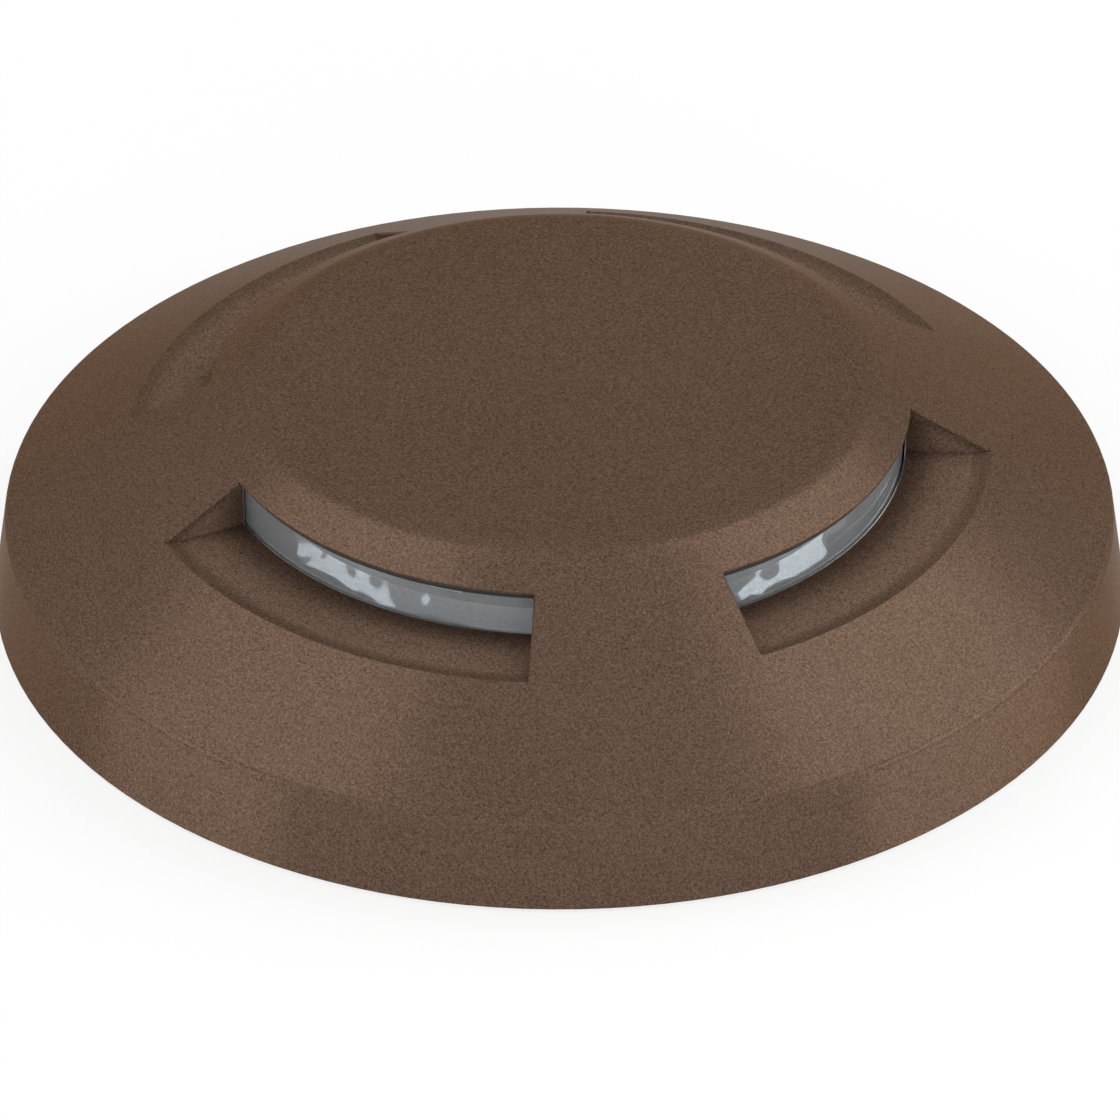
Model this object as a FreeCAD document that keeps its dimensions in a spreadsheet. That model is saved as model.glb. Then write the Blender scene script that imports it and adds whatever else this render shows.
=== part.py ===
import FreeCAD, Part
import os
import re
import Sketcher
from FreeCAD import Vector

# A four-way marker light that is screwed to a flat surface, in millimetres and degrees.
# The surface is the plane z = 0, the light stands on it round the Z axis, and one window faces +X.
# A mounting plate stays on the surface. The light head locks onto it with a short twist.

SIZES = {
    # cover outline: skirt, cone and flat crown
    "cover_radius": 63.5,
    "cover_height": 26.2,
    "skirt_height": 10.5,
    "skirt_lean": 1.6,
    "skirt_round": 0.8,
    "foot_gap": 0.4,
    "crown_setback": 4.4,
    "crown_round": 6.0,
    # windows: sector recesses cut into the cone down to a level sill
    "window_count": 4,
    "window_angle": 59.4,
    "rim_to_window": 24.6,
    "window_wall": 0.5,
    "window_lip": 0.25,
    "sill_height": 18.1,
    "recess_depth": 9.5,
    "lip_run": 2.5,
    "lip_rise": 0.45,
    "recess_round": 0.2,
    # cover inside
    "roof_thickness": 2.9,
    "sill_thickness": 2.6,
    "skirt_wall": 4.5,
    "seat_width": 2.0,
    "haunch_height": 1.3,
    "cavity_gap": 1.0,
    "boss_radius": 4.0,
    "boss_cover": 1.0,
    # ring lens and its two gaskets
    "lens_gap": 0.2,
    "lens_wall": 2.2,
    "lens_flange_thickness": 2.0,
    "lens_flange_gap": 1.8,
    "crown_seal_thickness": 0.8,
    "flange_seal_thickness": 1.0,
    # mounting plate
    "plate_thickness": 1.5,
    "plate_raise": 3.0,
    "plate_gap": 2.9,
    "plate_rim_width": 8.5,
    "plate_wall_run": 2.0,
    "plate_wall_width": 1.8,
    "mount_hole_count": 4,
    "mount_hole_radius": 2.4,
    "mount_hole_inset": 4.5,
    "mount_hole_bearing": 0,
    # twist lock
    "twist_angle": 20,
    "twist_gap": 0.3,
    "stud_count": 3,
    "stud_inset": 11.5,
    "stud_radius": 2.0,
    "stud_head_radius": 4.2,
    "stud_head_thickness": 1.3,
    "stud_clearance": 0.4,
    "stud_gap": 0.3,
    # base
    "base_gap": 0.3,
    "base_flange_thickness": 3.5,
    "base_floor_thickness": 2.0,
    "ring_wall_width": 6.0,
    "ring_wall_margin": 0.6,
    "pilot_radius": 14.0,
    "pilot_drop": 3.0,
    "pilot_gap": 0.1,
    "seal_section": 1.9,
    "seal_side_gap": 0.25,
    "gasket_width": 3.6,
    "gasket_gap": 0.5,
    # cable inlet
    "cable_radius": 3.0,
    "grommet_wall": 3.4,
    "grommet_lip": 2.5,
    "grommet_lip_thickness": 1.2,
    # fits shared by all fasteners and by parts set into others
    "thread_gap": 0.02,
    "screw_clearance": 0.25,
    "head_clearance": 0.3,
    "set_gap": 0.05,
    # base screws
    "base_screw_count": 4,
    "base_screw_bearing": 45,
    "base_screw_inset": 7.8,
    "base_screw_radius": 2.0,
    "base_screw_head_radius": 3.5,
    "base_screw_head_height": 2.0,
    "base_screw_grip": 4.2,
    "base_thread_spare": 0.4,
    # board and reflector screws
    "small_screw_radius": 1.25,
    "small_screw_head_radius": 2.2,
    "small_screw_head_height": 1.3,
    "socket_share": 0.5,
    # LED board under the roof
    "led_pad_thickness": 0.5,
    "led_board_thickness": 1.2,
    "led_board_gap": 0.4,
    "led_board_width": 15.8,
    "led_step": 14,
    "led_edge": 1.8,
    "led_length": 3.5,
    "led_width": 2.8,
    "led_height": 0.7,
    "phosphor_radius": 1.05,
    "phosphor_depth": 0.25,
    "led_screw_count": 4,
    "led_screw_bearing": 45,
    "led_screw_inset": 3.5,
    "led_screw_grip": 3.5,
    "led_thread_spare": 0.2,
    # reflector
    "reflector_angle": 55,
    "reflector_sheet": 0.8,
    "reflector_gap": 0.3,
    "reflector_drop": 1.8,
    "reflector_rim_drop": 1.8,
    "post_count": 4,
    "post_bearing": 0,
    "post_circle": 15.0,
    "post_radius": 3.2,
    "post_clearance": 0.6,
    "post_screw_grip": 5.0,
    "post_thread_spare": 1.0,
    # driver board on the base floor
    "driver_stand": 1.2,
    "driver_board_thickness": 1.6,
    "driver_gap": 1.2,
    "driver_hole_gap": 1.6,
    "driver_screw_count": 4,
    "driver_screw_bearing": 0,
    "driver_screw_inset": 3.6,
    "driver_screw_grip": 2.2,
    "stand_radius": 2.8,
    # driver components
    "capacitor_radius": 4.0,
    "capacitor_headroom": 1.0,
    "capacitor_bevel": 0.6,
    "capacitor_inset": 0.4,
    "capacitor_bearing": 211.5,
    "capacitor_step": 27,
    "inductor_radius": 5.2,
    "inductor_headroom": 2.4,
    "inductor_neck": 2.6,
    "inductor_rim": 1.3,
    "winding_margin": 0.6,
    "inductor_inset": 0.6,
    "inductor_bearing": 315,
    "chip_length": 5.0,
    "chip_width": 4.0,
    "chip_height": 1.6,
    "chip_inset": 5.0,
    "chip_bearing": 27,
    "chip_step": 18,
    "chip_count": 3,
    # supply terminals
    "terminal_depth": 8.0,
    "terminal_width": 11.0,
    "terminal_headroom": 1.4,
    "terminal_pitch": 5.0,
    "terminal_port_radius": 1.5,
    "terminal_port_depth": 4.0,
    "terminal_port_height": 2.6,
    "terminal_well_radius": 1.7,
    "terminal_well_depth": 3.0,
    "terminal_screw_height": 2.2,
    "terminal_slot_width": 0.6,
    "terminal_slot_depth": 0.7,
    "terminal_inset": 1.0,
    "terminal_bearing": 135,
    # plug-in link from the driver to the LED board
    "pin_bearing": 25,
    "pin_inset": 5.0,
    "pin_pitch": 2.54,
    "pin_radius": 0.32,
    "pin_grip": 2.0,
    "header_length": 6.0,
    "header_width": 2.6,
    "header_height": 2.5,
    "socket_height": 3.0,
    "socket_clearance": 0.6,
}

FITS = {
    # outline of the cover
    "window_radius": "cover_radius - rim_to_window",
    "crown_radius": "window_radius - crown_setback",
    "skirt_top_radius": "cover_radius - skirt_lean",
    "cone_slope": "(cover_height - skirt_height) / (skirt_top_radius - crown_radius)",
    "recess_radius": "window_radius + recess_depth",
    "cone_at_window": "skirt_height + (skirt_top_radius - window_radius) * cone_slope",
    "head_level": "cone_at_window - window_lip",
    # where the sill, or the lip at its end, runs out on the cone
    "lip_slope": "lip_rise / lip_run",
    "lip_foot": "recess_radius - lip_run",
    "sill_runout": "skirt_top_radius - (sill_height - skirt_height) / cone_slope",
    "lip_runout": "(sill_runout * cone_slope + lip_foot * lip_slope) / (cone_slope + lip_slope)",
    "recess_reach": "min(recess_radius + lip_run; sill_runout; lip_runout)",
    # the edge of a window's side wall on the cone, short of both its ends
    "edge_radius": "window_radius + recess_round",
    "edge_level": "skirt_height + (skirt_top_radius - edge_radius) * cone_slope",
    "edge_length": "(recess_reach - recess_round - edge_radius) / cos(atan(cone_slope))",
    # inside of the cover
    "roof_level": "cover_height - roof_thickness",
    "ceiling_level": "sill_height - sill_thickness",
    # lock and base levels, from the surface up
    "plate_top": "plate_raise + plate_thickness",
    "base_level": "plate_top + twist_gap",
    "seat_level": "base_level + base_flange_thickness",
    "floor_level": "base_level + base_floor_thickness",
    "pilot_level": "base_level - pilot_drop",
    "stud_head_top": "plate_raise - stud_gap",
    # skirt, base flange, gasket and plate, from the rim in
    "skirt_bore": "cover_radius - skirt_wall",
    "seat_radius": "skirt_bore - seat_width",
    "base_radius": "skirt_bore - base_gap",
    "base_screw_circle": "skirt_bore - base_screw_inset",
    "gasket_radius": "skirt_bore - gasket_gap",
    "gasket_inner": "gasket_radius - gasket_width",
    "plate_radius": "gasket_inner - plate_gap",
    "rim_inner": "plate_radius - plate_rim_width",
    "plateau_radius": "rim_inner - plate_wall_run",
    "wall_foot": "rim_inner + plate_wall_width - plate_thickness * plate_wall_run / plate_raise",
    "wall_head": "rim_inner + plate_wall_width - plate_top * plate_wall_run / plate_raise",
    "mount_circle": "plate_radius - mount_hole_inset",
    "stud_circle": "plateau_radius - stud_inset",
    "slot_half": "stud_radius + stud_clearance",
    "key_radius": "stud_head_radius + stud_clearance",
    # lens, clamped between the roof, the ceiling and the ring wall of the base
    "lens_bore": "window_radius - window_wall",
    "lens_radius": "lens_bore - lens_gap",
    "lens_inner": "lens_radius - lens_wall",
    "lens_top": "roof_level - crown_seal_thickness",
    "lens_flange_radius": "base_screw_circle - boss_radius - lens_flange_gap",
    "lens_flange_top": "ceiling_level - flange_seal_thickness",
    "ring_top": "lens_flange_top - lens_flange_thickness",
    "ring_outer": "lens_flange_radius + ring_wall_margin",
    "ring_inner": "ring_outer - ring_wall_width",
    "cavity_radius": "lens_flange_radius + cavity_gap",
    # base screws and the bosses that take them
    "base_head_seat": "base_level + base_screw_head_height + head_clearance",
    "base_thread_depth": "base_head_seat + base_screw_grip + base_thread_spare - seat_level",
    "boss_reach": "base_screw_circle + boss_radius",
    "boss_top": "skirt_height + (skirt_top_radius - boss_reach) * cone_slope - boss_cover",
    # O-ring in the rim of the base
    "seal_circle": "skirt_bore - set_gap - seal_section / 2",
    "seal_groove_radius": "seal_circle - set_gap - seal_section / 2",
    "seal_level": "base_level + base_flange_thickness / 2",
    # cable inlet
    "grommet_radius": "cable_radius + grommet_wall",
    "cable_bore": "grommet_radius + set_gap",
    "grommet_lip_radius": "grommet_radius + grommet_lip",
    # LED board, hung from the roof
    "led_pad_level": "roof_level - led_pad_thickness",
    "led_board_level": "led_pad_level - led_board_thickness",
    "led_board_radius": "lens_inner - led_board_gap",
    "led_board_inner": "led_board_radius - led_board_width",
    "led_circle": "led_board_radius - led_edge",
    "led_screw_circle": "led_board_inner + led_screw_inset",
    "led_thread_depth": "led_screw_grip - led_pad_thickness - led_board_thickness + led_thread_spare",
    "phosphor_bore": "phosphor_radius + set_gap",
    # reflector, on posts of the base
    "reflector_top": "led_board_level - reflector_drop",
    "reflector_under": "reflector_top - reflector_sheet",
    "reflector_rim_level": "sill_height - reflector_rim_drop",
    "reflector_radius": "lens_inner - reflector_gap",
    "reflector_crown": "reflector_radius - (reflector_top - reflector_rim_level) / tan(reflector_angle)",
    "reflector_wall": "reflector_sheet / sin(reflector_angle)",
    "reflector_inside": "reflector_crown + reflector_sheet / tan(reflector_angle) - reflector_wall",
    # driver board
    "driver_level": "floor_level + driver_stand",
    "driver_top": "driver_level + driver_board_thickness",
    "driver_radius": "lens_inner - driver_gap",
    "driver_hole": "grommet_lip_radius + driver_hole_gap",
    "driver_screw_circle": "driver_radius - driver_screw_inset",
    "thread_radius": "small_screw_radius + thread_gap",
    "through_radius": "small_screw_radius + screw_clearance",
    # driver components: the tall ones stand under the flat of the reflector, the chips by the board's edge
    "driver_room": "reflector_under - driver_top",
    "capacitor_circle": "reflector_inside - capacitor_radius - capacitor_inset",
    "capacitor_height": "driver_room - capacitor_headroom",
    "inductor_circle": "reflector_inside - inductor_radius - inductor_inset",
    "inductor_height": "driver_room - inductor_headroom",
    "chip_circle": "driver_radius - chip_inset",
    "terminal_circle": "reflector_inside - terminal_depth / 2 - terminal_inset",
    "terminal_height": "driver_room - terminal_headroom",
    "terminal_top": "driver_top + terminal_height",
    "pin_circle": "led_board_inner + pin_inset",
    "socket_level": "led_board_level - socket_height",
    "pin_bore": "pin_radius + thread_gap",
}

# two places closer than this are taken as one when an edge is looked up
SAME_PLACE = 0.001

doc = FreeCAD.newDocument("marker_light")
dims = doc.addObject("Spreadsheet::Sheet", "dims")
fits = doc.addObject("Spreadsheet::Sheet", "fits")


def bound(text):
    """Writes a formula of size names as an expression on the two sheets."""
    def cell(match):
        name = match.group(0)
        if name in SIZES:
            return "dims." + name
        return "fits." + name if name in FITS else name
    return re.sub(r"[a-z][a-z_]*", cell, text)


def number(text):
    """The present value of a formula of size names."""
    return float(fits.evalExpression(bound(text)))


def fill_sheets():
    """Driving sizes go into one sheet, the sizes that follow from them into the other."""
    for row, (name, value) in enumerate(SIZES.items(), start=1):
        dims.set(f"A{row}", name)
        dims.set(f"B{row}", str(value))
        dims.setAlias(f"B{row}", name)
    doc.recompute()
    for row, (name, formula) in enumerate(FITS.items(), start=1):
        fits.set(f"A{row}", name)
        fits.setAlias(f"B{row}", name)
        fits.set(f"B{row}", "=" + bound(formula).replace("fits.", ""))
    doc.recompute()


# Sketches

def origin(body, role):
    return next(item for item in body.Origin.OriginFeatures if item.Role == role)


def sketch(body, role, level="0", bearing="0"):
    """A sketch on an origin plane of the body, raised to a level and turned to a bearing."""
    drawing = body.newObject("Sketcher::SketchObject", body.Name + "_sketch")
    drawing.AttachmentSupport = [(origin(body, role), "")]
    drawing.MapMode = "FlatFace"
    drawing.setExpression("AttachmentOffset.Base.z", bound(level))
    drawing.setExpression("AttachmentOffset.Rotation.Angle", bound(bearing))
    return drawing


def hold(drawing, curve, end, x, y):
    """Holds one point of a curve at a place given by two formulas."""
    for kind, place, axis in (("DistanceX", x, -2), ("DistanceY", y, -1)):
        if place == "0":
            drawing.addConstraint(Sketcher.Constraint("PointOnObject", curve, end, axis))
            continue
        index = drawing.addConstraint(Sketcher.Constraint(kind, -1, 1, curve, end, number(place)))
        drawing.setExpression(f"Constraints[{index}]", bound(place))


def polygon(drawing, corners):
    """A closed chain of straight lines with every corner held."""
    places = [Vector(number(x), number(y), 0) for x, y in corners]
    first = drawing.GeometryCount
    count = len(places)
    for index in range(count):
        line = Part.LineSegment(places[index], places[(index + 1) % count])
        drawing.addGeometry(line, False)
    for index in range(count):
        following = first + (index + 1) % count
        drawing.addConstraint(Sketcher.Constraint("Coincident", first + index, 2, following, 1))
    for index, (x, y) in enumerate(corners):
        hold(drawing, first + index, 1, x, y)


def circle(drawing, x, y, radius):
    centre = Vector(number(x), number(y), 0)
    index = drawing.addGeometry(Part.Circle(centre, Vector(0, 0, 1), number(radius)))
    hold(drawing, index, 3, x, y)
    size = drawing.addConstraint(Sketcher.Constraint("Radius", index, number(radius)))
    drawing.setExpression(f"Constraints[{size}]", bound(radius))


def bar(drawing, reach, length, width):
    """A rectangle across the sketch's X axis: its middle at reach, length along X and width along Y."""
    near = f"{reach} - {length} / 2"
    far = f"{reach} + {length} / 2"
    low = f"0 - {width} / 2"
    high = f"{width} / 2"
    polygon(drawing, [(near, low), (far, low), (far, high), (near, high)])


def hexagon(drawing, reach, radius):
    """A hexagon round a point on the sketch's X axis, with a corner on each side of it along X."""
    near = f"{reach} - {radius} / 2"
    far = f"{reach} + {radius} / 2"
    left = f"{radius} * sin(60)"
    right = f"0 - {left}"
    polygon(drawing, [(f"{reach} + {radius}", "0"), (far, left), (near, left),
                      (f"{reach} - {radius}", "0"), (near, right), (far, right)])


# Features

def new_body(name):
    body = doc.addObject("PartDesign::Body", name)
    body.Label = name
    return body


def swing(body, bearing):
    """Turns a finished body about the Z axis to its bearing."""
    body.setExpression("Placement.Rotation.Angle", bound(bearing))
    return body


def turn(body, corners, cut=False, angle=None, middle=False):
    """A profile of radius and height carried round the Z axis, all the way or through an angle from +X."""
    drawing = sketch(body, "XZ_Plane")
    polygon(drawing, corners)
    kind = "PartDesign::Groove" if cut else "PartDesign::Revolution"
    feature = body.newObject(kind, body.Name + "_turn")
    feature.Profile = drawing
    feature.ReferenceAxis = (drawing, ["V_Axis"])
    feature.Angle = 360
    if angle:
        feature.setExpression("Angle", bound(angle))
        feature.Midplane = middle
    return feature


def spin(body, reach, corners):
    """A profile of radius and height carried round an upright axis that stands at reach on +X."""
    drawing = sketch(body, "XZ_Plane")
    heights = [number(z) for _, z in corners]
    foot = Vector(number(reach), min(heights), 0)
    head = Vector(number(reach), max(heights), 0)
    line = drawing.addGeometry(Part.LineSegment(foot, head), True)
    lowest = corners[heights.index(min(heights))][1]
    highest = corners[heights.index(max(heights))][1]
    hold(drawing, line, 1, reach, lowest)
    hold(drawing, line, 2, reach, highest)
    polygon(drawing, [(reach if r == "0" else f"{reach} + {r}", z) for r, z in corners])
    feature = body.newObject("PartDesign::Revolution", body.Name + "_spin")
    feature.Profile = drawing
    feature.ReferenceAxis = (drawing, ["Axis0"])
    feature.Angle = 360
    return feature


def extrude(body, drawing, length, cut=False, upward=True):
    feature = body.newObject("PartDesign::Pocket" if cut else "PartDesign::Pad", body.Name + "_run")
    feature.Profile = drawing
    feature.setExpression("Length", bound(length))
    feature.Reversed = cut == upward
    return feature


def post(body, reach, bearing, radius, level, length):
    """A round upright post standing at a reach and bearing."""
    drawing = sketch(body, "XY_Plane", level, bearing)
    circle(drawing, reach, "0", radius)
    return extrude(body, drawing, length)


def drill(body, reach, bearing, radius, level, length, upward=True):
    """A round upright hole at a reach and bearing, running from a level."""
    drawing = sketch(body, "XY_Plane", level, bearing)
    circle(drawing, reach, "0", radius)
    return extrude(body, drawing, length, cut=True, upward=upward)


def repeat(body, features, count):
    """Equal copies all the way round the Z axis."""
    pattern = body.newObject("PartDesign::PolarPattern", body.Name + "_ring")
    pattern.Originals = features
    pattern.Axis = (origin(body, "Z_Axis"), [""])
    pattern.Angle = 360
    pattern.setExpression("Occurrences", bound(count))
    body.Tip = pattern
    return pattern


def fillet(body, feature, edges, radius):
    doc.recompute()
    names = [f"Edge{index}" for index, edge in enumerate(feature.Shape.Edges, start=1) if edges(edge)]
    rounded = body.newObject("PartDesign::Fillet", body.Name + "_round")
    rounded.Base = (feature, names)
    rounded.setExpression("Radius", bound(radius))
    return rounded


def ring_edge(radius, level):
    """Picks the round edges about the Z axis that have this radius and height."""
    def matches(edge):
        round_edge = isinstance(edge.Curve, Part.Circle)
        return round_edge and abs(edge.Curve.Radius - radius) + abs(edge.Curve.Center.z - level) < SAME_PLACE
    return matches


def screws(name, reach, bearing, count, seat, shank, grip, head, height, upward):
    """Socket-head screws in a ring. The shank runs from the seat by its grip, upward or downward."""
    body = new_body(name)
    away = "+" if upward else "-"
    back = "-" if upward else "+"
    tip = f"{seat} {away} {grip}"
    face = f"{seat} {back} {height}"
    shaft = spin(body, reach, [("0", tip), (shank, tip), (shank, seat),
                               (head, seat), (head, face), ("0", face)])
    drawing = sketch(body, "XY_Plane", face)
    hexagon(drawing, reach, f"{head} * socket_share")
    key = extrude(body, drawing, f"{height} * socket_share", cut=True, upward=upward)
    repeat(body, [shaft, key], count)
    return swing(body, bearing)


def small_screws(name, reach, bearing, count, seat, grip, upward):
    """The one small screw that holds the boards and the reflector."""
    return screws(name, reach, bearing, count, seat, "small_screw_radius", grip,
                  "small_screw_head_radius", "small_screw_head_height", upward)


# Mounting plate and twist lock

def mounting_plate():
    """Pressed dish: a flat rim on the surface, a raised middle with keyholes, a round hole for the pilot."""
    body = new_body("mounting_plate")
    turn(body, [
        ("pilot_radius + pilot_gap", "plate_raise"), ("plateau_radius", "plate_raise"), ("rim_inner", "0"),
        ("plate_radius", "0"), ("plate_radius", "plate_thickness"), ("wall_foot", "plate_thickness"),
        ("wall_head", "plate_top"), ("pilot_radius + pilot_gap", "plate_top")])
    low = "plate_raise - plate_thickness"
    high = "plate_top + plate_thickness"
    near = "stud_circle - slot_half"
    far = "stud_circle + slot_half"
    slot = turn(body, [(near, low), (far, low), (far, high), (near, high)], cut=True, angle="twist_angle")
    narrow = drill(body, "stud_circle", "0", "slot_half", "plate_raise", "plate_thickness")
    wide = drill(body, "stud_circle", "twist_angle", "key_radius", "plate_raise", "plate_thickness")
    repeat(body, [slot, narrow, wide], "stud_count")
    hole = drill(body, "mount_circle", "mount_hole_bearing", "mount_hole_radius", "0", "plate_thickness")
    repeat(body, [hole], "mount_hole_count")
    return body


def lock_studs():
    """Headed studs set into the base floor, hanging through the keyholes."""
    body = new_body("lock_studs")
    foot = "stud_head_top - stud_head_thickness"
    stud = spin(body, "stud_circle", [
        ("0", foot), ("stud_head_radius", foot), ("stud_head_radius", "stud_head_top"),
        ("stud_radius", "stud_head_top"), ("stud_radius", "floor_level"), ("0", "floor_level")])
    repeat(body, [stud], "stud_count")
    return body


def surface_gasket():
    """Foam ring between the base flange and the surface."""
    body = new_body("surface_gasket")
    turn(body, [("gasket_inner", "0"), ("gasket_radius", "0"), ("gasket_radius", "base_level"),
                ("gasket_inner", "base_level")])
    return body


# Cover, lens and gaskets

def cover():
    """Cast shell: one turned wall, four windows cut into its cone, and bosses for the base screws."""
    body = new_body("cover")
    shell = turn(body, [
        ("0", "cover_height"), ("crown_radius", "cover_height"), ("skirt_top_radius", "skirt_height"),
        ("cover_radius", "foot_gap"), ("skirt_bore", "foot_gap"), ("skirt_bore", "seat_level"),
        ("seat_radius", "seat_level"), ("seat_radius", "seat_level + haunch_height"),
        ("cavity_radius", "ceiling_level"), ("lens_bore", "ceiling_level"), ("lens_bore", "roof_level"),
        ("0", "roof_level")])
    doc.recompute()
    crown = fillet(body, shell, ring_edge(number("crown_radius"), number("cover_height")), "crown_round")
    fillet(body, crown, ring_edge(number("skirt_top_radius"), number("skirt_height")), "skirt_round")
    above = "cover_height + roof_thickness"
    inside = "lens_bore - lens_gap"
    window = turn(body, [
        (inside, "sill_height"), ("lip_foot", "sill_height"),
        ("recess_radius + lip_run", "sill_height + 2 * lip_rise"), ("recess_radius + lip_run", above),
        ("window_radius", above), ("window_radius", "head_level"), (inside, "head_level")],
        cut=True, angle="window_angle", middle=True)
    edges = [edge_break(body, side) for side in (-1, 1)]
    repeat(body, [window] + edges, "window_count")
    boss = post(body, "base_screw_circle", "base_screw_bearing", "boss_radius", "seat_level",
                "boss_top - seat_level")
    thread = drill(body, "base_screw_circle", "base_screw_bearing", "base_screw_radius + thread_gap",
                   "seat_level", "base_thread_depth")
    repeat(body, [boss, thread], "base_screw_count")
    tap = drill(body, "led_screw_circle", "led_screw_bearing", "thread_radius", "roof_level",
                "led_thread_depth")
    repeat(body, [tap], "led_screw_count")
    return body


def edge_break(body, side):
    """Takes the corner off the edge where a side wall of a window runs out on the cone.

    The sketch stands across the edge at its inner end, with X into the cone and Y round it.
    """
    drawing = body.newObject("Sketcher::SketchObject", "cover_edge_sketch")
    drawing.AttachmentSupport = [(origin(body, "XY_Plane"), "")]
    drawing.MapMode = "FlatFace"
    bearing = f"{side} * window_angle / 2"
    foot = f"vector(edge_radius * cos({bearing}); edge_radius * sin({bearing}); edge_level)"
    slant = f"rotation(vector(0; 0; 1); {bearing}) * rotation(vector(0; 1; 0); 90 deg + atan(cone_slope))"
    drawing.setExpression("AttachmentOffset", bound(f"placement({foot}; {slant})"))
    beyond = "2 * recess_round"
    clear = f"0 - {side} * recess_round"
    polygon(drawing, [("0 - recess_round", clear), (beyond, clear),
                      ("0 - recess_round", f"{side} * {beyond}")])
    return extrude(body, drawing, "edge_length", cut=True)


def lens():
    """Clear drum behind the windows with a flange that the base clamps."""
    body = new_body("lens")
    turn(body, [
        ("lens_inner", "ring_top"), ("lens_flange_radius", "ring_top"),
        ("lens_flange_radius", "lens_flange_top"), ("lens_radius", "lens_flange_top"),
        ("lens_radius", "lens_top"), ("lens_inner", "lens_top")])
    return body


def crown_seal():
    body = new_body("crown_seal")
    turn(body, [("lens_inner", "lens_top"), ("lens_radius", "lens_top"), ("lens_radius", "roof_level"),
                ("lens_inner", "roof_level")])
    return body


def flange_seal():
    body = new_body("flange_seal")
    turn(body, [("lens_bore", "lens_flange_top"), ("lens_flange_radius", "lens_flange_top"),
                ("lens_flange_radius", "ceiling_level"), ("lens_bore", "ceiling_level")])
    return body


# Reflector

def reflector():
    """Spun metal cone behind the lens, with a flat top that hides the driver."""
    body = new_body("reflector")
    turn(body, [
        ("0", "reflector_top"), ("reflector_crown", "reflector_top"),
        ("reflector_radius", "reflector_rim_level"),
        ("reflector_radius - reflector_wall", "reflector_rim_level"),
        ("reflector_inside", "reflector_under"), ("0", "reflector_under")])
    hole = drill(body, "post_circle", "post_bearing", "through_radius", "reflector_under", "reflector_sheet")
    repeat(body, [hole], "post_count")
    drawing = sketch(body, "XY_Plane", "reflector_under", "pin_bearing")
    bar(drawing, "pin_circle", "header_width + 2 * socket_clearance", "header_length + 2 * socket_clearance")
    extrude(body, drawing, "reflector_sheet", cut=True)
    return body


def reflector_screws():
    return small_screws("reflector_screws", "post_circle", "post_bearing", "post_count", "reflector_top",
                        "post_screw_grip", upward=False)


# LED board

def led_ring(name, level, thickness):
    """A flat ring with the holes for the LED board screws."""
    body = new_body(name)
    drawing = sketch(body, "XY_Plane", level)
    circle(drawing, "0", "0", "led_board_radius")
    circle(drawing, "0", "0", "led_board_inner")
    extrude(body, drawing, thickness)
    hole = drill(body, "led_screw_circle", "led_screw_bearing", "through_radius", level, thickness)
    repeat(body, [hole], "led_screw_count")
    return body


def led_pad():
    return led_ring("led_pad", "led_pad_level", "led_pad_thickness")


def led_board():
    return led_ring("led_board", "led_board_level", "led_board_thickness")


def led_board_screws():
    return small_screws("led_board_screws", "led_screw_circle", "led_screw_bearing", "led_screw_count",
                        "led_board_level", "led_screw_grip", upward=True)


def led_bearings():
    """Three LEDs share each window: one in its middle and one a step to each side."""
    return ["0 - led_step", "0", "led_step"]


def led_packages():
    """White packages under the board, facing down, each with a round well for its phosphor."""
    body = new_body("led_packages")
    pieces = []
    for bearing in led_bearings():
        drawing = sketch(body, "XY_Plane", "led_board_level", bearing)
        bar(drawing, "led_circle", "led_width", "led_length")
        pieces.append(extrude(body, drawing, "led_height", upward=False))
        pieces.append(drill(body, "led_circle", bearing, "phosphor_bore", "led_board_level - led_height",
                            "phosphor_depth"))
    repeat(body, pieces, "window_count")
    return body


def led_phosphors():
    body = new_body("led_phosphors")
    level = "led_board_level - led_height"
    discs = [post(body, "led_circle", bearing, "phosphor_radius", level, "phosphor_depth")
             for bearing in led_bearings()]
    repeat(body, discs, "window_count")
    return body


# Plug-in link between the boards

def pin_reaches():
    return ["0 - pin_pitch / 2", "pin_pitch / 2"]


def pin_holes(body, level, depth):
    drawing = sketch(body, "XY_Plane", level)
    for side in pin_reaches():
        circle(drawing, "pin_circle", side, "pin_bore")
    extrude(body, drawing, depth, cut=True)


def pin_block(name, level, height, hole_depth):
    """A small block with two round holes from below."""
    body = new_body(name)
    drawing = sketch(body, "XY_Plane", level)
    bar(drawing, "pin_circle", "header_width", "header_length")
    extrude(body, drawing, height)
    pin_holes(body, level, hole_depth)
    return swing(body, "pin_bearing")


def pin_header():
    return pin_block("pin_header", "driver_top", "header_height", "header_height")


def led_socket():
    return pin_block("led_socket", "socket_level", "socket_height", "pin_grip + thread_gap")


def led_pins():
    body = new_body("led_pins")
    drawing = sketch(body, "XY_Plane", "driver_top")
    for side in pin_reaches():
        circle(drawing, "pin_circle", side, "pin_radius")
    extrude(body, drawing, "socket_level + pin_grip - driver_top")
    return swing(body, "pin_bearing")


# Base

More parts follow.
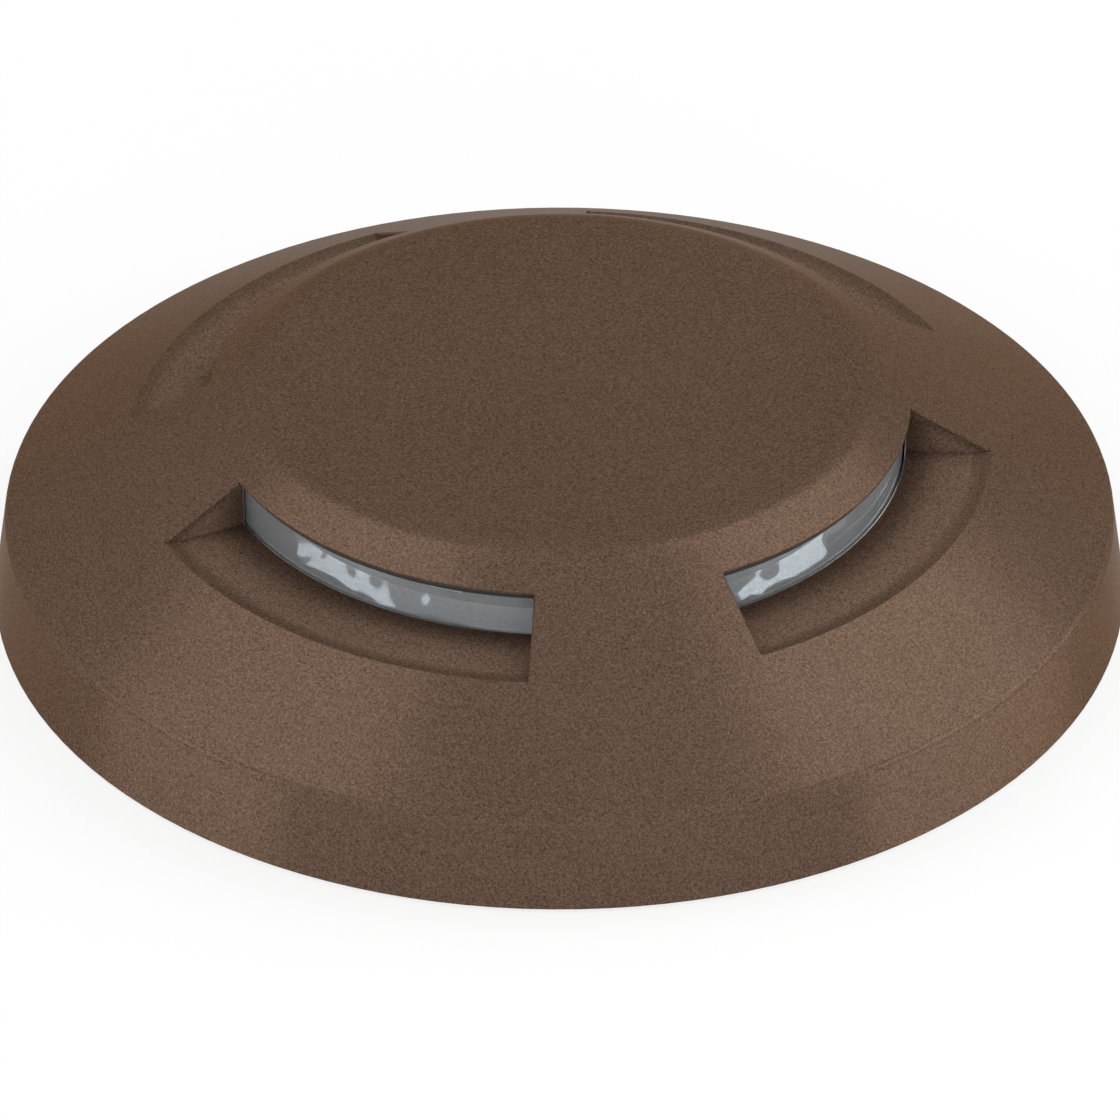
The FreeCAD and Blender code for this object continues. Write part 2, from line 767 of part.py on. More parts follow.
def base():
    """Cast base: flange in the skirt, ring wall under the lens, floor, posts and a pilot boss."""
    body = new_body("base")
    turn(body, [
        ("cable_bore", "pilot_level"), ("pilot_radius", "pilot_level"), ("pilot_radius", "base_level"),
        ("base_radius", "base_level"), ("base_radius", "seat_level"), ("ring_outer", "seat_level"),
        ("ring_outer", "ring_top"), ("ring_inner", "ring_top"), ("ring_inner", "floor_level"),
        ("cable_bore", "floor_level")])
    low = "seal_level - seal_section / 2 - seal_side_gap"
    high = "seal_level + seal_section / 2 + seal_side_gap"
    turn(body, [("seal_groove_radius", low), ("skirt_bore", low), ("skirt_bore", high),
                ("seal_groove_radius", high)], cut=True)
    pillar = post(body, "post_circle", "post_bearing", "post_radius", "floor_level",
                  "reflector_under - floor_level")
    tap = drill(body, "post_circle", "post_bearing", "thread_radius", "reflector_under",
                "post_screw_grip + post_thread_spare - reflector_sheet", upward=False)
    repeat(body, [pillar, tap], "post_count")
    stand = post(body, "driver_screw_circle", "driver_screw_bearing", "stand_radius", "floor_level",
                 "driver_stand")
    tap = drill(body, "driver_screw_circle", "driver_screw_bearing", "thread_radius", "driver_level",
                "driver_screw_grip - driver_board_thickness + set_gap", upward=False)
    repeat(body, [stand, tap], "driver_screw_count")
    hole = drill(body, "stud_circle", "0", "stud_radius + thread_gap", "base_level", "base_floor_thickness")
    repeat(body, [hole], "stud_count")
    well = drill(body, "base_screw_circle", "base_screw_bearing", "base_screw_head_radius + head_clearance",
                 "base_level", "base_head_seat - base_level")
    hole = drill(body, "base_screw_circle", "base_screw_bearing", "base_screw_radius + screw_clearance",
                 "base_level", "base_flange_thickness")
    repeat(body, [well, hole], "base_screw_count")
    return body


def base_screws():
    return screws("base_screws", "base_screw_circle", "base_screw_bearing", "base_screw_count",
                  "base_head_seat", "base_screw_radius", "base_screw_grip", "base_screw_head_radius",
                  "base_screw_head_height", upward=True)


def base_seal():
    """O-ring in the rim groove."""
    ring = doc.addObject("Part::Torus", "base_seal")
    ring.Label = "base_seal"
    ring.setExpression("Radius1", bound("seal_circle"))
    ring.setExpression("Radius2", bound("seal_section / 2"))
    ring.setExpression("Placement.Base.z", bound("seal_level"))
    return ring


def cable_grommet():
    """Rubber bush in the inlet, with a lip on each side of the base."""
    body = new_body("cable_grommet")
    foot = "pilot_level - grommet_lip_thickness"
    head = "floor_level + grommet_lip_thickness"
    turn(body, [
        ("cable_radius", foot), ("grommet_lip_radius", foot), ("grommet_lip_radius", "pilot_level"),
        ("grommet_radius", "pilot_level"), ("grommet_radius", "floor_level"),
        ("grommet_lip_radius", "floor_level"), ("grommet_lip_radius", head), ("cable_radius", head)])
    return body


# Driver

def driver_board():
    body = new_body("driver_board")
    drawing = sketch(body, "XY_Plane", "driver_level")
    circle(drawing, "0", "0", "driver_radius")
    circle(drawing, "0", "0", "driver_hole")
    extrude(body, drawing, "driver_board_thickness")
    hole = drill(body, "post_circle", "post_bearing", "post_radius + post_clearance", "driver_level",
                 "driver_board_thickness")
    repeat(body, [hole], "post_count")
    hole = drill(body, "driver_screw_circle", "driver_screw_bearing", "through_radius", "driver_level",
                 "driver_board_thickness")
    repeat(body, [hole], "driver_screw_count")
    return body


def driver_screws():
    return small_screws("driver_screws", "driver_screw_circle", "driver_screw_bearing", "driver_screw_count",
                        "driver_top", "driver_screw_grip", upward=False)


def driver_capacitors():
    """Two upright cans with a bevelled top, a step apart."""
    body = new_body("driver_capacitors")
    top = "driver_top + capacitor_height"
    for bearing in ("0", "capacitor_step"):
        can = post(body, "capacitor_circle", bearing, "capacitor_radius", "driver_top", "capacitor_height")
        doc.recompute()
        rims = [f"Edge{index}" for index, edge in enumerate(can.Shape.Edges, start=1)
                if ring_level(edge, number(top)) and on_bearing(edge, number(bearing))]
        bevel = body.newObject("PartDesign::Chamfer", "driver_capacitors_bevel")
        bevel.Base = (can, rims)
        bevel.setExpression("Size", bound("capacitor_bevel"))
    return swing(body, "capacitor_bearing")


def ring_level(edge, level):
    return isinstance(edge.Curve, Part.Circle) and abs(edge.Curve.Center.z - level) < SAME_PLACE


def on_bearing(edge, bearing):
    """True for a round edge whose centre lies on this bearing from the Z axis."""
    centre = edge.Curve.Center
    across = FreeCAD.Rotation(Vector(0, 0, 1), bearing).inverted().multVec(centre)
    return abs(across.y) < SAME_PLACE


def inductor_core():
    """Ferrite drum: two rims and a neck."""
    body = new_body("inductor_core")
    top = "driver_top + inductor_height"
    spin(body, "inductor_circle", [
        ("0", "driver_top"), ("inductor_radius", "driver_top"),
        ("inductor_radius", "driver_top + inductor_rim"),
        ("inductor_neck", "driver_top + inductor_rim"), ("inductor_neck", f"{top} - inductor_rim"),
        ("inductor_radius", f"{top} - inductor_rim"), ("inductor_radius", top), ("0", top)])
    return swing(body, "inductor_bearing")


def inductor_winding():
    """Copper winding round the neck of the drum."""
    body = new_body("inductor_winding")
    low = "driver_top + inductor_rim"
    high = "driver_top + inductor_height - inductor_rim"
    inner = "inductor_neck + set_gap"
    outer = "inductor_radius - winding_margin"
    spin(body, "inductor_circle", [(inner, low), (outer, low), (outer, high), (inner, high)])
    return swing(body, "inductor_bearing")


def driver_chips():
    """A row of flat packages near the edge of the board."""
    body = new_body("driver_chips")
    for index in range(SIZES["chip_count"]):
        drawing = sketch(body, "XY_Plane", "driver_top", f"chip_bearing + {index} * chip_step")
        bar(drawing, "chip_circle", "chip_width", "chip_length")
        extrude(body, drawing, "chip_height")
    return body


# Supply terminals

def terminal_sides():
    return ["0 - terminal_pitch / 2", "terminal_pitch / 2"]


def terminal_block():
    """Two-pole block: wire ports in the face towards the inlet, screw wells in the top."""
    body = new_body("terminal_block")
    drawing = sketch(body, "XY_Plane", "driver_top")
    bar(drawing, "terminal_circle", "terminal_depth", "terminal_width")
    extrude(body, drawing, "terminal_height")
    drawing = sketch(body, "XY_Plane", "terminal_top")
    for side in terminal_sides():
        circle(drawing, "terminal_circle", side, "terminal_well_radius")
    extrude(body, drawing, "terminal_well_depth", cut=True, upward=False)
    drawing = sketch(body, "YZ_Plane", "terminal_circle - terminal_depth / 2")
    for side in terminal_sides():
        circle(drawing, side, "driver_top + terminal_port_height", "terminal_port_radius")
    extrude(body, drawing, "terminal_port_depth", cut=True)
    return swing(body, "terminal_bearing")


def terminal_screws():
    """Slotted clamping screws standing in the wells."""
    body = new_body("terminal_screws")
    foot = "terminal_top - terminal_well_depth"
    drawing = sketch(body, "XY_Plane", foot)
    for side in terminal_sides():
        circle(drawing, "terminal_circle", side, "terminal_well_radius - set_gap")
    extrude(body, drawing, "terminal_screw_height")
    drawing = sketch(body, "XY_Plane", f"{foot} + terminal_screw_height")
    bar(drawing, "terminal_circle", "terminal_slot_width", "terminal_width")
    extrude(body, drawing, "terminal_slot_depth", cut=True, upward=False)
    return swing(body, "terminal_bearing")


def check(pieces):
    """Stops unless every object recomputed, every cut removed material and every piece is sound."""
    for item in doc.Objects:
        if "Invalid" in item.State or "Error" in item.State:
            raise RuntimeError(f"{item.Label}: {item.State}")
        if item.TypeId in ("PartDesign::Pocket", "PartDesign::Groove"):
            before = item.BaseFeature.Shape
            same_faces = len(item.Shape.Faces) == len(before.Faces)
            if same_faces and item.Shape.Volume >= before.Volume:
                raise RuntimeError(f"{item.Label} cuts nothing")
    for piece in pieces:
        if piece.Shape.isNull() or not piece.Shape.isValid():
            raise RuntimeError(f"{piece.Label} has no sound shape")


def export(pieces):
    os.makedirs("parts", exist_ok=True)
    for piece in pieces:
        piece.Shape.exportStep(f"parts/{piece.Label}.step")
        print(f"{piece.Label}: {len(piece.Shape.Solids)} solids, {piece.Shape.Volume:.1f} mm3")


fill_sheets()
makers = [
    mounting_plate, lock_studs, surface_gasket, cover, lens, crown_seal, flange_seal, reflector,
    reflector_screws, led_pad, led_board, led_board_screws, led_packages, led_phosphors, led_socket,
    led_pins, pin_header, base, base_screws, base_seal, cable_grommet, driver_board, driver_screws,
    driver_capacitors, inductor_core, inductor_winding, driver_chips, terminal_block, terminal_screws]
pieces = [make() for make in makers]
doc.recompute()
check(pieces)
export(pieces)
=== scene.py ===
import math

import bpy
import numpy as np
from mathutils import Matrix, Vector


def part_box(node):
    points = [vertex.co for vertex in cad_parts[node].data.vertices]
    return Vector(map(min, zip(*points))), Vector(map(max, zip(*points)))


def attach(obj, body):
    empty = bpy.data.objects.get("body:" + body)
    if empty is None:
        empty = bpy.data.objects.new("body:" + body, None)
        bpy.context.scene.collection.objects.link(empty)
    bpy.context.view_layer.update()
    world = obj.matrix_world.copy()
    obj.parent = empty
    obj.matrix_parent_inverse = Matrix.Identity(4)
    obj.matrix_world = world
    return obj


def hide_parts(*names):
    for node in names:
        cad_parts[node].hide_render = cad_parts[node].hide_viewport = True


# Looks of a four-way marker light: a bronze-coated shell over a clear ring lens and a bright cone.
# Metres everywhere. The light stands on z = 0 round the Z axis.

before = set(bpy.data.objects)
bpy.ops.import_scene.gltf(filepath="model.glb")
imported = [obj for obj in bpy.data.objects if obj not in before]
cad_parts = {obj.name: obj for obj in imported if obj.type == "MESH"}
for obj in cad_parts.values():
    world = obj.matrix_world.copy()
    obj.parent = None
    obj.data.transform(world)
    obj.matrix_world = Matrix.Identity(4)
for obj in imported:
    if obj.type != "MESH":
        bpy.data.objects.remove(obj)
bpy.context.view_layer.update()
print("frame loaded,", len(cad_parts), "nodes")

middle = 0.5    # of a noise value, which runs from 0 to 1


class Wire:
    # an output socket of a node; arithmetic on wires adds Math nodes to the same tree
    def __init__(self, board, socket):
        self.board = board
        self.socket = socket

    def maths(self, operation, *values):
        return self.board.node("ShaderNodeMath", {"operation": operation}, dict(enumerate(values)))

    def __add__(self, other):
        return self.maths("ADD", self, other)

    def __radd__(self, other):
        return self.maths("ADD", other, self)

    def __sub__(self, other):
        return self.maths("SUBTRACT", self, other)

    def __rsub__(self, other):
        return self.maths("SUBTRACT", other, self)

    def __mul__(self, other):
        return self.maths("MULTIPLY", self, other)

    def __rmul__(self, other):
        return self.maths("MULTIPLY", other, self)

    def __pow__(self, power):
        return self.maths("POWER", self, power)

    def __lt__(self, limit):
        return self.maths("LESS_THAN", self, limit)

    def orMore(self, other):
        return self.maths("MAXIMUM", self, other)

    def swing(self, amount):
        # a noise value as a swing about 0, from minus half the amount to plus half
        return (self - middle) * amount


class Board:
    # the node tree of a material or of the world
    def __init__(self, owner):
        owner.use_nodes = True
        self.tree = owner.node_tree
        self.tree.nodes.clear()

    def node(self, kind, settings, sockets, output=0):
        made = self.tree.nodes.new(kind)
        for name, value in settings.items():
            setattr(made, name, value)
        for name, value in sockets.items():
            if isinstance(value, Wire):
                self.tree.links.new(value.socket, made.inputs[name])
            else:
                made.inputs[name].default_value = value
        return Wire(self, made.outputs[output]) if made.outputs else None

    def place(self):
        return self.node("ShaderNodeTexCoord", {}, {}, "Object")

    def mapped(self, changes):
        return self.node("ShaderNodeMapping", {}, {"Vector": self.place(), **changes})

    def noise(self, size, detail, vector=None):
        # cloudy values between 0 and 1, about one swing per size in metres
        return self.node("ShaderNodeTexNoise", {},
                         {"Vector": vector or self.place(), "Scale": 1 / size, "Detail": detail})

    def axes(self):
        split = self.node("ShaderNodeSeparateXYZ", {}, {"Vector": self.place()}).socket.node
        return [Wire(self, socket) for socket in split.outputs]

    def radius(self):
        # distance from the Z axis
        x, y = self.axes()[:2]
        return (x * x + y * y) ** 0.5

    def height(self):
        return self.axes()[2]

    def ramp(self, value, low, high):
        # 0 below low, 1 above high, and a smooth rise between them
        return self.node("ShaderNodeMapRange", {"interpolation_type": "SMOOTHSTEP"},
                         {"Value": value, "From Min": low, "From Max": high})

    def tint(self, share, low, high):
        # colour that goes from low to high as share goes from 0 to 1; 6, 7 and 2 are the colour sockets
        return self.node("ShaderNodeMix", {"data_type": "RGBA"},
                         {0: share, 6: opaque(low), 7: opaque(high)}, 2)

    def bump(self, height, depth):
        # height runs from 0 to 1 over a relief of that depth in metres
        return self.node("ShaderNodeBump", {}, {"Height": height, "Distance": depth, "Strength": 1.0})

    def surface(self, sockets):
        shader = self.node("ShaderNodeBsdfPrincipled", {}, sockets)
        self.node("ShaderNodeOutputMaterial", {}, {"Surface": shader})


def opaque(colour):
    return colour if isinstance(colour, Wire) else (*colour, 1.0)


def dimmed(colour, share):
    return tuple(tone * share for tone in colour)


def newFinish(name):
    material = bpy.data.materials.new(name)
    return material, Board(material)


def dress(material, *names):
    for name in names:
        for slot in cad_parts[name].material_slots:
            slot.material = material


def addToScene(name, data):
    thing = bpy.data.objects.new(name, data)
    bpy.context.scene.collection.objects.link(thing)
    return thing


# fine-texture bronze powder coat, painted paler and made less metallic in the windows' recesses as painted
# fill light, and darker next to the lens as painted shade;
# the bore behind the lens is left bare
coat = {"dark": (0.057, 0.0320, 0.0185), "pale": (0.163, 0.1085, 0.0800), "edge": (0.72, 0.55, 0.45),
        "grain": 0.00030, "grainDetail": 2.0, "grainSwing": 1.3, "grainRelief": 0.7,
        "fleck": 0.00015, "fleckDetail": 1.0, "fleckSwing": 1.3, "fleckRelief": 0.3,
        "cloud": 0.03, "cloudDetail": 2.0, "cloudSwing": 0.2,
        "relief": 0.000006, "metal": 0.35, "roughness": 0.23, "roughSwing": 0.1, "specular": 0.0,
        "paintedFillDark": (0.070, 0.0420, 0.0260), "paintedFillPale": (0.222, 0.1440, 0.1050), "recessMetal": 0.10,
        "paintedShadeEnd": 0.0432, "paintedShadeTone": 0.42, "rimFrom": 0.0003, "rimTo": 0.0007, "rimDull": 0.13,
        "coneFoot": (0.0619, 0.0105), "coneSlope": 0.573, "window": 0.0386, "recessEnd": 0.0515,
        "recessFrom": 0.0003, "recessTo": 0.0018, "bare": (0.62, 0.62, 0.63), "bareMargin": 0.0003}


def bronzeCoat():
    material, board = newFinish("bronzeCoat")
    grain = board.noise(coat["grain"], coat["grainDetail"])
    fleck = board.noise(coat["fleck"], coat["fleckDetail"])
    cloud = board.noise(coat["cloud"], coat["cloudDetail"])
    speckle = (grain.swing(coat["grainSwing"]) + fleck.swing(coat["fleckSwing"])
               + cloud.swing(coat["cloudSwing"]) + middle)
    away, height = board.radius(), board.height()

    # the recesses are what lies under the line of the cone, between the windows and the recesses' ends
    footAway, footHeight = coat["coneFoot"]
    below = (footAway - away) * coat["coneSlope"] + footHeight - height
    outside = (away < coat["recessEnd"]) - (away < coat["window"])
    recess = board.ramp(below, coat["recessFrom"], coat["recessTo"]) * outside

    # the seal fills the corner of the bore under the roof
    bore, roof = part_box("crown_seal")[1].xz
    inside = (away < bore + coat["bareMargin"]) * (height < roof + coat["bareMargin"])

    # painted shade: the coat's colour is darkened next to the lens, where shade falls in the recess
    paintedShadeMask = 1 - board.ramp(away, coat["window"], coat["paintedShadeEnd"])
    colour = board.tint(speckle, coat["dark"], coat["pale"])
    # painted fill light: the recess colours are paler, standing in for the light that the recess's shade
    # takes away
    paintedFillColour = board.tint(speckle, coat["paintedFillDark"], coat["paintedFillPale"])
    # painted shade: darker copies of the recess colours, used next to the lens
    paintedShadeColour = board.tint(speckle, dimmed(coat["paintedFillDark"], coat["paintedShadeTone"]),
                       dimmed(coat["paintedFillPale"], coat["paintedShadeTone"]))
    coated = board.tint(recess, colour, board.tint(paintedShadeMask, paintedFillColour, paintedShadeColour))

    # the coat pulls thin and dull over the edge between skirt and cone
    offRim = ((away - footAway) ** 2 + (height - footHeight) ** 2) ** 0.5
    rim = 1 - board.ramp(offRim, coat["rimFrom"], coat["rimTo"])
    flake = recess * (coat["recessMetal"] - coat["metal"]) + coat["metal"]
    board.surface({
        "Base Color": board.tint(inside, coated, coat["bare"]),
        "Metallic": inside.orMore(flake),
        "Roughness": grain.swing(coat["roughSwing"]) + coat["roughness"] + rim * coat["rimDull"],
        "Specular IOR Level": coat["specular"],
        "Specular Tint": opaque(coat["edge"]),
        "Normal": board.bump(grain * coat["grainRelief"] + fleck * coat["fleckRelief"], coat["relief"])})
    return material


dress(bronzeCoat(), "cover")
print("shell coated")

# moulded lens, clear with a trace of haze
lens = {"tint": (0.80, 0.83, 0.85), "clear": 0.83, "ior": 1.55, "gloss": 0.03,
        "wave": 0.006, "waveDetail": 1.0, "relief": 0.00002}


def clearLens():
    material, board = newFinish("clearLens")
    wave = board.noise(lens["wave"], lens["waveDetail"])
    board.surface({
        "Base Color": opaque(lens["tint"]),
        "Roughness": wave * lens["gloss"],
        "IOR": lens["ior"],
        "Transmission Weight": lens["clear"],
        "Normal": board.bump(wave, lens["relief"])})
    return material


dress(clearLens(), "lens")

# spun cone behind the lens: polished below, with a slow wave that breaks up what it mirrors,
# and satin at the top, where a darker colour is painted shade under the roof
cone = {"low": (0.25, 0.265, 0.28), "high": (0.325, 0.34, 0.355),
        "ring": 0.0006, "ringDetail": 3.0, "ringShare": 0.002,
        "wave": 0.005, "waveDetail": 1.0, "waveShift": (0.0959, 0.0497, 0.0231), "relief": 0.00080,
        "roughness": 0.08, "roughSwing": 0.1,
        "satinAndShadeFrom": 0.0189, "satinDull": 0.45, "roofShadeShare": 0.55}


def spun(board):
    # rings round the Z axis: noise of the radius and the height alone
    return board.node("ShaderNodeCombineXYZ", {}, {"X": board.radius(), "Y": board.height()})


def brightCone():
    material, board = newFinish("brightCone")
    ring = board.noise(cone["ring"], cone["ringDetail"], spun(board))
    wave = board.noise(cone["wave"], cone["waveDetail"], board.mapped({"Location": cone["waveShift"]}))
    # satin roughness at the top, and a darker colour there that is painted shade under the roof
    satinAndShade = 1 - (board.height() < cone["satinAndShadeFrom"])
    colour = board.tint(ring, cone["low"], cone["high"])
    dulled = satinAndShade * (cone["satinDull"] - cone["roughness"])
    board.surface({
        "Base Color": board.tint(satinAndShade, colour, dimmed(cone["low"], cone["roofShadeShare"])),
        "Metallic": 1.0,
        "Roughness": ring.swing(cone["roughSwing"]) + cone["roughness"] + dulled,
        "Normal": board.bump(wave + ring * cone["ringShare"], cone["relief"])})
    return material


dress(brightCone(), "reflector")
print("lens and cone dressed")

# bright and dull metals: streaks give the way the metal was worked
streaks = {"detail": 3.0, "roughSwing": 0.25, "brush": (0.03, 1.0, 1.0)}


def workedMetal(name, low, high, roughness, vector, size, relief):
    material, board = newFinish(name)
    streak = board.noise(size, streaks["detail"], vector(board))
    board.surface({
        "Base Color": board.tint(streak, low, high),
        "Metallic": 1.0,
        "Roughness": roughness + streak.swing(streaks["roughSwing"]),
        "Normal": board.bump(streak, relief)})
    return material


def brushed(board):
    return board.mapped({"Scale": streaks["brush"]})


def cast(board):
    return board.place()


# nodes, dark and pale tone, roughness, way of the streaks, their size and their relief
metals = {
    "castAluminium": (("base",), (0.42, 0.42, 0.43), (0.58, 0.58, 0.59), 0.45, cast, 0.0009, 0.00003),
    "brushedStainless": (("mounting_plate", "lock_studs"),
                         (0.50, 0.50, 0.51), (0.66, 0.66, 0.67), 0.32, brushed, 0.0005, 0.000006),
    "screwSteel": (("reflector_screws", "led_board_screws", "base_screws", "driver_screws",
                    "terminal_screws"),
                   (0.42, 0.42, 0.42), (0.62, 0.62, 0.62), 0.30, cast, 0.0004, 0.000006),
    "platedPins": (("led_pins",), (0.66, 0.48, 0.18), (0.80, 0.64, 0.32), 0.25, cast, 0.0003, 0.000003),
    "drawnCans": (("driver_capacitors",),
                  (0.56, 0.57, 0.59), (0.72, 0.73, 0.75), 0.28, brushed, 0.0004, 0.000004),
    "woundCopper": (("inductor_winding",),
                    (0.48, 0.19, 0.08), (0.72, 0.36, 0.19), 0.30, spun, 0.0004, 0.00002),
}
for name, (names, *look) in metals.items():
    dress(workedMetal(name, *look), *names)
print("metals dressed")

# moulded, pressed and printed materials: a fine mottle over a base tone
mottles = {"detail": 3.0, "roughSwing": 0.2}


def moulded(name, low, high, roughness, size, relief):
    material, board = newFinish(name)
    mottle = board.noise(size, mottles["detail"])
    board.surface({
        "Base Color": board.tint(mottle, low, high),
        "Roughness": roughness + mottle.swing(mottles["roughSwing"]),
        "Normal": board.bump(mottle, relief)})
    return material


# nodes, dark and pale tone, roughness, size of the mottle and its relief
mouldings = {
    "sealRubber": (("crown_seal", "flange_seal", "base_seal", "cable_grommet"),
                   (0.014, 0.014, 0.014), (0.030, 0.030, 0.031), 0.62, 0.0005, 0.00001),
    "gapFiller": (("led_pad",), (0.40, 0.42, 0.45), (0.50, 0.52, 0.55), 0.75, 0.0008, 0.00002),
    "whiteMask": (("led_board",), (0.80, 0.80, 0.79), (0.87, 0.87, 0.86), 0.40, 0.0010, 0.000004),
    "ledWhite": (("led_packages",), (0.82, 0.82, 0.79), (0.88, 0.88, 0.86), 0.35, 0.0004, 0.000003),
    "phosphorFill": (("led_phosphors",), (0.76, 0.54, 0.08), (0.90, 0.74, 0.22), 0.45, 0.0002, 0.000006),
    "blackNylon": (("led_socket", "pin_header", "driver_chips"),
                   (0.018, 0.018, 0.018), (0.042, 0.042, 0.042), 0.55, 0.0004, 0.000008),
    "greenMask": (("driver_board",), (0.018, 0.120, 0.045), (0.045, 0.200, 0.090), 0.38, 0.0020, 0.00001),
    "ferriteGrey": (("inductor_core",), (0.040, 0.040, 0.043), (0.085, 0.085, 0.090), 0.60, 0.0003, 0.00001),
    "terminalNylon": (("terminal_block",), (0.17, 0.19, 0.21), (0.23, 0.25, 0.27), 0.50, 0.0005, 0.000008),
}
for name, (names, *look) in mouldings.items():
    dress(moulded(name, *look), *names)
print("mouldings dressed")

# foam ring under the base, pressed flat at the foot and the top and bulging a little at its sides
foam = {"name": "foamRing", "round": 5.0, "around": 240, "across": 48, "bulge": 0.04, "ripples": 37,
        "low": (0.016, 0.016, 0.017), "high": (0.052, 0.052, 0.055), "roughness": 0.95,
        "cell": 0.0005, "relief": 0.00006}


def foamRing():
    # a rounded box carried round the Z axis: half width times cos to the power 2 / round, half height times
    # sin to it; the sides swell and sink by a small share of the width as the ring goes round
    low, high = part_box("surface_gasket")
    wallInner, wallOuter = ringWall("surface_gasket")
    turn = np.linspace(0, 2 * np.pi, foam["around"], endpoint=False)[:, None]
    lap = np.linspace(0, 2 * np.pi, foam["across"], endpoint=False)[None, :]
    halfWidth, halfHeight = (wallOuter - wallInner) / 2, (high.z - low.z) / 2
    side = np.sign(np.cos(lap)) * np.abs(np.cos(lap)) ** (2 / foam["round"])
    rise = np.sign(np.sin(lap)) * np.abs(np.sin(lap)) ** (2 / foam["round"])
    swell = 1 - foam["bulge"] * (0.5 + 0.5 * np.sin(foam["ripples"] * turn)) - foam["bulge"] * rise ** 2
    away = (wallInner + wallOuter) / 2 + halfWidth * side * swell
    level = (low.z + high.z) / 2 + halfHeight * rise + 0 * turn
    points = np.stack([away * np.cos(turn), away * np.sin(turn), level], axis=-1)
    return closedGrid(foam["name"], points)


def ringWall(name):
    # inner and outer radius of a ring-shaped node
    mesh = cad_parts[name].data
    points = np.empty(len(mesh.vertices) * 3, np.float32)
    mesh.vertices.foreach_get("co", points)
    away = np.hypot(points[0::3], points[1::3])
    return float(away.min()), float(away.max())


def closedGrid(name, points):
    # quads between neighbours of a grid that closes on itself both ways
    rows, columns = points.shape[:2]
    index = np.arange(rows * columns).reshape(rows, columns)
    nextRow = np.roll(index, -1, 0)
    quads = np.stack([index, nextRow, np.roll(nextRow, -1, 1), np.roll(index, -1, 1)], axis=-1)
    mesh = bpy.data.meshes.new(name)
    mesh.from_pydata(points.reshape(-1, 3).tolist(), [], quads.reshape(-1, 4).tolist())
    mesh.shade_smooth()
    return addToScene(name, mesh)


def closedCellFoam():
    material, board = newFinish("closedCellFoam")
    cell = board.node("ShaderNodeTexVoronoi", {},
                      {"Vector": board.place(), "Scale": 1 / foam["cell"]}, "Distance")
    board.surface({
        "Base Color": board.tint(cell, foam["low"], foam["high"]),
        "Roughness": foam["roughness"],
        "Normal": board.bump(cell, foam["relief"])})
    return material


ring = foamRing()
ring.data.materials.append(closedCellFoam())
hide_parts("surface_gasket")
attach(ring, "light_head")
print("foam ring laid")

# plain white studio; the floor is pale to the camera, and the coat mirrors it with a light polish
studio = {"floorReach": 6.0, "floorTone": 0.95, "floorGlow": 0.8, "floorGloss": 0.1, "floorMirror": 0.55,
          "white": 1.0, "fill": 0.58}
# swing is measured from the camera's side, to the right; width and height in metres, power in watts
lamps = {
    "leftBox": {"swing": -111, "rise": 59, "away": 0.75, "width": 0.46, "height": 0.46, "power": 1.12},
    "rightBox": {"swing": 117, "rise": 53, "away": 0.75, "width": 0.49, "height": 0.49, "power": 1.52},
    "leftStrip": {"swing": -75, "rise": 20, "away": 1.0, "width": 0.75, "height": 0.32, "power": 2.4},
    "rightStrip": {"swing": 87, "rise": 20, "away": 1.0, "width": 1.00, "height": 0.32, "power": 4.1},
    "frontBox": {"swing": 0, "rise": 10, "away": 1.0, "width": 1.8, "height": 0.34, "power": 6.2}}
unseenInGloss = ("frontBox",)    # plain fill, with no highlight of its own

# the photograph's viewpoint, turned from the -Y axis and raised from the floor
shot = {"turn": 33.66, "rise": 33.54, "away": 0.7393, "pivot": (0, 0, 0.012),
        "drop": 0.00864, "slide": 0.000056, "lens": 212.5, "sensor": 36}


def seenFrom(turn, rise):
    # unit vector towards a viewer who stands turn degrees round from -Y and rise degrees up
    turn, rise = math.radians(turn), math.radians(rise)
    return Vector((math.cos(rise) * math.sin(turn), -math.cos(rise) * math.cos(turn), math.sin(rise)))


def lookAlong(thing, target):
    thing.rotation_euler = (target - thing.location).to_track_quat("-Z", "Y").to_euler()


def rays(board, kind):
    return board.node("ShaderNodeLightPath", {}, {}, f"Is {kind} Ray")


def shownDirectly(board):
    # 1 for what the camera sees, straight or in metal and glass, and 0 for the light that falls on things
    return rays(board, "Camera").orMore(rays(board, "Glossy")).orMore(rays(board, "Transmission"))


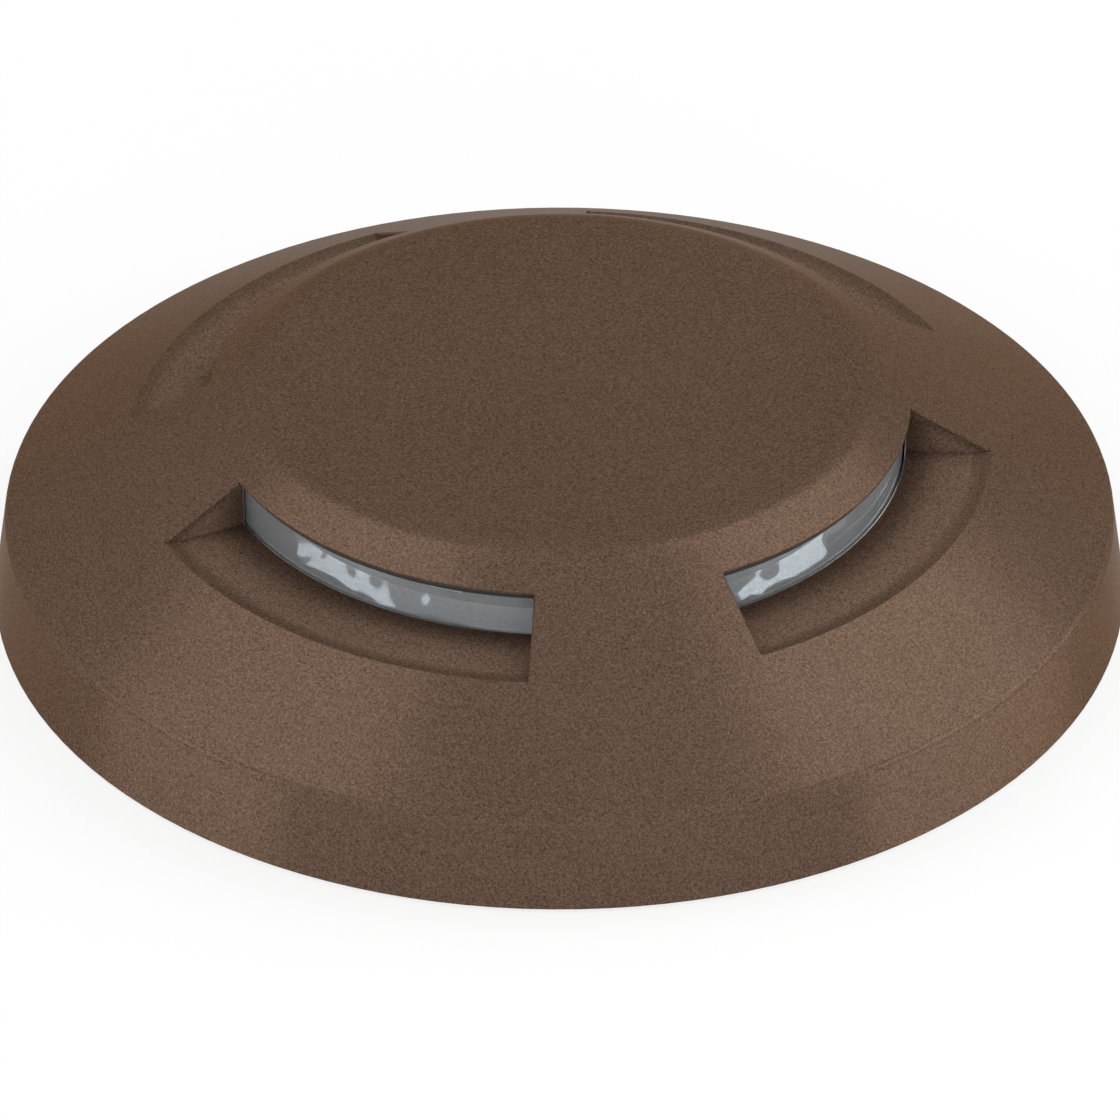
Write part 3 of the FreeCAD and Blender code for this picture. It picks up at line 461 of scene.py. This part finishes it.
def paleFloor():
    material, board = newFinish("paleFloor")
    diffuse = board.node("ShaderNodeBsdfDiffuse", {}, {"Color": opaque((studio["floorTone"],) * 3)})
    glow = board.node("ShaderNodeEmission", {}, {"Strength": studio["white"]})
    sheen = board.node("ShaderNodeBsdfAnisotropic", {}, {"Roughness": studio["floorGloss"]})
    pale = board.node("ShaderNodeMixShader", {},
                      {0: shownDirectly(board) * studio["floorGlow"], 1: diffuse, 2: glow})
    polished = board.node("ShaderNodeMixShader", {},
                          {0: rays(board, "Glossy") * studio["floorMirror"], 1: pale, 2: sheen})
    board.node("ShaderNodeOutputMaterial", {}, {"Surface": polished})
    return material


def addFloor():
    reach = studio["floorReach"]
    mesh = bpy.data.meshes.new("floor")
    mesh.from_pydata([(-reach, -reach, 0), (reach, -reach, 0), (reach, reach, 0), (-reach, reach, 0)],
                     [], [(0, 1, 2, 3)])
    mesh.materials.append(paleFloor())
    addToScene("floor", mesh)


def addWorld():
    world = bpy.data.worlds.new("whiteStudio")
    bpy.context.scene.world = world
    board = Board(world)
    strength = shownDirectly(board) * (studio["white"] - studio["fill"]) + studio["fill"]
    backdrop = board.node("ShaderNodeBackground", {}, {"Strength": strength})
    board.node("ShaderNodeOutputWorld", {}, {"Surface": backdrop})


def addLamps():
    for name, box in lamps.items():
        lamp = bpy.data.lights.new(name, "AREA")
        lamp.energy, lamp.shape = box["power"], "RECTANGLE"
        lamp.size, lamp.size_y = box["width"], box["height"]
        thing = addToScene(name, lamp)
        thing.location = seenFrom(shot["turn"] + box["swing"], box["rise"]) * box["away"]
        lookAlong(thing, Vector(shot["pivot"]))
        thing.visible_camera = False
        thing.visible_glossy = thing.visible_transmission = name not in unseenInGloss


def addCamera():
    pivot, eye = Vector(shot["pivot"]), seenFrom(shot["turn"], shot["rise"])
    right = seenFrom(shot["turn"] + 90, 0)
    up = eye.cross(right)
    view = bpy.data.cameras.new("photoView")
    view.lens, view.sensor_width = shot["lens"], shot["sensor"]
    camera = addToScene("photoView", view)
    camera.location = pivot + eye * shot["away"]
    lookAlong(camera, pivot - up * shot["drop"] + right * shot["slide"])
    bpy.context.scene.camera = camera


addFloor()
addWorld()
addLamps()
addCamera()
bpy.context.scene.view_settings.view_transform = "Standard"
print("studio and camera set")
